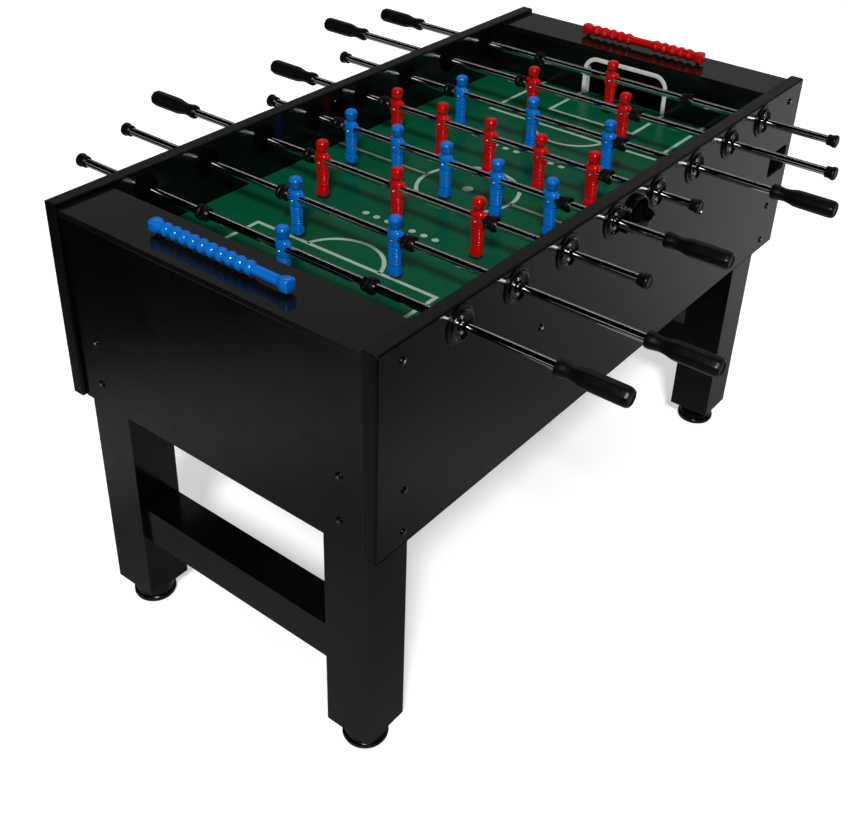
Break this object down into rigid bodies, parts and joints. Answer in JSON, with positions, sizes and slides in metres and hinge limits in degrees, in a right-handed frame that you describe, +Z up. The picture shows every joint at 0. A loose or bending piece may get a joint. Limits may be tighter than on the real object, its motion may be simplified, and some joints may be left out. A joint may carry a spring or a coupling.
{
  "type": "foosball table",
  "caption": "Free-standing foosball table: box cabinet on square legs with sliding, spinning player rods, goals, ball returns, serving cups and bead score counters.",
  "frame": {"origin": "on the floor under the middle of the playing field", "axes": "+X along the table from the blue goal to the red goal, +Y along the rods from the side with the blue handles to the side with the red handles, +Z up"},
  "size_m": [1.44, 1.442, 0.926],
  "materials": {
    "black_laminate": "semi-gloss black laminate",
    "shelf_laminate": "glossy black laminate",
    "green_field": "satin green printed board with white lines",
    "black_plastic": "satin black moulded plastic",
    "black_rubber": "matt black rubber",
    "chromed_steel": "polished chrome plate on steel tube",
    "blue_plastic": "glossy blue moulded plastic",
    "red_plastic": "glossy red moulded plastic"
  },
  "bodies": {
    "cabinet": {"playing_field": "green_field", "side_panel_front": "black_laminate", "serving_cup_front": "black_plastic", "side_panel_back": "black_laminate", "serving_cup_back": "black_plastic", "end_panel_blue_end": "black_laminate", "shelf_blue_end": "shelf_laminate", "goal_wall_blue_end": "black_laminate", "ball_chute_blue_end": "black_plastic", "stretcher_blue_end": "black_laminate", "score_rail_blue": "blue_plastic", "end_panel_red_end": "black_laminate", "shelf_red_end": "shelf_laminate", "goal_wall_red_end": "black_laminate", "ball_chute_red_end": "black_plastic", "stretcher_red_end": "black_laminate", "score_rail_red": "red_plastic", "leg_front_blue_end": "black_laminate", "leg_back_blue_end": "black_laminate", "leg_front_red_end": "black_laminate", "leg_back_red_end": "black_laminate"},
    "foot_front_blue_end": {"foot_front_blue_end": "black_rubber"},
    "foot_back_blue_end": {"foot_back_blue_end": "black_rubber"},
    "foot_front_red_end": {"foot_front_red_end": "black_rubber"},
    "foot_back_red_end": {"foot_back_red_end": "black_rubber"},
    "blue_goalkeeper_bush": {"blue_goalkeeper_bush": "black_plastic"},
    "blue_goalkeeper_rod": {"blue_goalkeeper_rod": "chromed_steel", "blue_goalkeeper_handle": "black_plastic", "blue_goalkeeper_end_cap": "black_plastic"},
    "blue_defence_bush": {"blue_defence_bush": "black_plastic"},
    "blue_defence_rod": {"blue_defence_rod": "chromed_steel", "blue_defence_handle": "black_plastic", "blue_defence_end_cap": "black_plastic"},
    "red_attack_bush": {"red_attack_bush": "black_plastic"},
    "red_attack_rod": {"red_attack_rod": "chromed_steel", "red_attack_handle": "black_plastic", "red_attack_end_cap": "black_plastic"},
    "blue_midfield_bush": {"blue_midfield_bush": "black_plastic"},
    "blue_midfield_rod": {"blue_midfield_rod": "chromed_steel", "blue_midfield_handle": "black_plastic", "blue_midfield_end_cap": "black_plastic"},
    "red_midfield_bush": {"red_midfield_bush": "black_plastic"},
    "red_midfield_rod": {"red_midfield_rod": "chromed_steel", "red_midfield_handle": "black_plastic", "red_midfield_end_cap": "black_plastic"},
    "blue_attack_bush": {"blue_attack_bush": "black_plastic"},
    "blue_attack_rod": {"blue_attack_rod": "chromed_steel", "blue_attack_handle": "black_plastic", "blue_attack_end_cap": "black_plastic"},
    "red_defence_bush": {"red_defence_bush": "black_plastic"},
    "red_defence_rod": {"red_defence_rod": "chromed_steel", "red_defence_handle": "black_plastic", "red_defence_end_cap": "black_plastic"},
    "red_goalkeeper_bush": {"red_goalkeeper_bush": "black_plastic"},
    "red_goalkeeper_rod": {"red_goalkeeper_rod": "chromed_steel", "red_goalkeeper_handle": "black_plastic", "red_goalkeeper_end_cap": "black_plastic"},
    "score_beads_blue": {"score_beads_blue": "blue_plastic"},
    "score_beads_red_front": {"score_beads_red_front": "red_plastic"},
    "score_beads_red_back": {"score_beads_red_back": "red_plastic"}
  },
  "joints": [
    {"name": "foot_turn_front_blue_end", "type": "hinge", "parent": "cabinet", "child": "foot_front_blue_end", "pos_m": [-0.6507, -0.2907, 0.022], "axis": [0, 0, 1], "continuous": true},
    {"name": "foot_turn_back_blue_end", "type": "hinge", "parent": "cabinet", "child": "foot_back_blue_end", "pos_m": [-0.6507, 0.2907, 0.022], "axis": [0, 0, 1], "continuous": true},
    {"name": "foot_turn_front_red_end", "type": "hinge", "parent": "cabinet", "child": "foot_front_red_end", "pos_m": [0.6507, -0.2907, 0.022], "axis": [0, 0, 1], "continuous": true},
    {"name": "foot_turn_back_red_end", "type": "hinge", "parent": "cabinet", "child": "foot_back_red_end", "pos_m": [0.6507, 0.2907, 0.022], "axis": [0, 0, 1], "continuous": true},
    {"name": "blue_goalkeeper_spin", "type": "hinge", "parent": "cabinet", "child": "blue_goalkeeper_bush", "pos_m": [-0.525, 0, 0.868], "axis": [0, 1, 0], "continuous": true},
    {"name": "blue_goalkeeper_slide", "type": "slide", "parent": "blue_goalkeeper_bush", "child": "blue_goalkeeper_rod", "axis": [0, 1, 0], "range_m": [-0.123, 0.128]},
    {"name": "blue_defence_spin", "type": "hinge", "parent": "cabinet", "child": "blue_defence_bush", "pos_m": [-0.375, 0, 0.868], "axis": [0, 1, 0], "continuous": true},
    {"name": "blue_defence_slide", "type": "slide", "parent": "blue_defence_bush", "child": "blue_defence_rod", "axis": [0, 1, 0], "range_m": [-0.165, 0.176]},
    {"name": "red_attack_spin", "type": "hinge", "parent": "cabinet", "child": "red_attack_bush", "pos_m": [-0.225, 0, 0.868], "axis": [0, 1, 0], "continuous": true},
    {"name": "red_attack_slide", "type": "slide", "parent": "red_attack_bush", "child": "red_attack_rod", "axis": [0, 1, 0], "range_m": [-0.101, 0.104]},
    {"name": "blue_midfield_spin", "type": "hinge", "parent": "cabinet", "child": "blue_midfield_bush", "pos_m": [-0.075, 0, 0.868], "axis": [0, 1, 0], "continuous": true},
    {"name": "blue_midfield_slide", "type": "slide", "parent": "blue_midfield_bush", "child": "blue_midfield_rod", "axis": [0, 1, 0], "range_m": [-0.0455, 0.0435]},
    {"name": "red_midfield_spin", "type": "hinge", "parent": "cabinet", "child": "red_midfield_bush", "pos_m": [0.075, 0, 0.868], "axis": [0, 1, 0], "continuous": true},
    {"name": "red_midfield_slide", "type": "slide", "parent": "red_midfield_bush", "child": "red_midfield_rod", "axis": [0, 1, 0], "range_m": [-0.0495, 0.0395]},
    {"name": "blue_attack_spin", "type": "hinge", "parent": "cabinet", "child": "blue_attack_bush", "pos_m": [0.225, 0, 0.868], "axis": [0, 1, 0], "continuous": true},
    {"name": "blue_attack_slide", "type": "slide", "parent": "blue_attack_bush", "child": "blue_attack_rod", "axis": [0, 1, 0], "range_m": [-0.107, 0.098]},
    {"name": "red_defence_spin", "type": "hinge", "parent": "cabinet", "child": "red_defence_bush", "pos_m": [0.375, 0, 0.868], "axis": [0, 1, 0], "continuous": true},
    {"name": "red_defence_slide", "type": "slide", "parent": "red_defence_bush", "child": "red_defence_rod", "axis": [0, 1, 0], "range_m": [-0.159, 0.182]},
    {"name": "red_goalkeeper_spin", "type": "hinge", "parent": "cabinet", "child": "red_goalkeeper_bush", "pos_m": [0.525, 0, 0.868], "axis": [0, 1, 0], "continuous": true},
    {"name": "red_goalkeeper_slide", "type": "slide", "parent": "red_goalkeeper_bush", "child": "red_goalkeeper_rod", "axis": [0, 1, 0], "range_m": [-0.1185, 0.1325]},
    {"name": "score_beads_blue_slide", "type": "slide", "parent": "cabinet", "child": "score_beads_blue", "axis": [0, 1, 0], "range_m": [-0.051, 0]},
    {"name": "score_beads_red_front_slide", "type": "slide", "parent": "cabinet", "child": "score_beads_red_front", "axis": [0, 1, 0], "range_m": [0, 0.051]},
    {"name": "score_beads_red_back_slide", "type": "slide", "parent": "cabinet", "child": "score_beads_red_back", "axis": [0, 1, 0], "range_m": [-0.051, 0]}
  ]
}
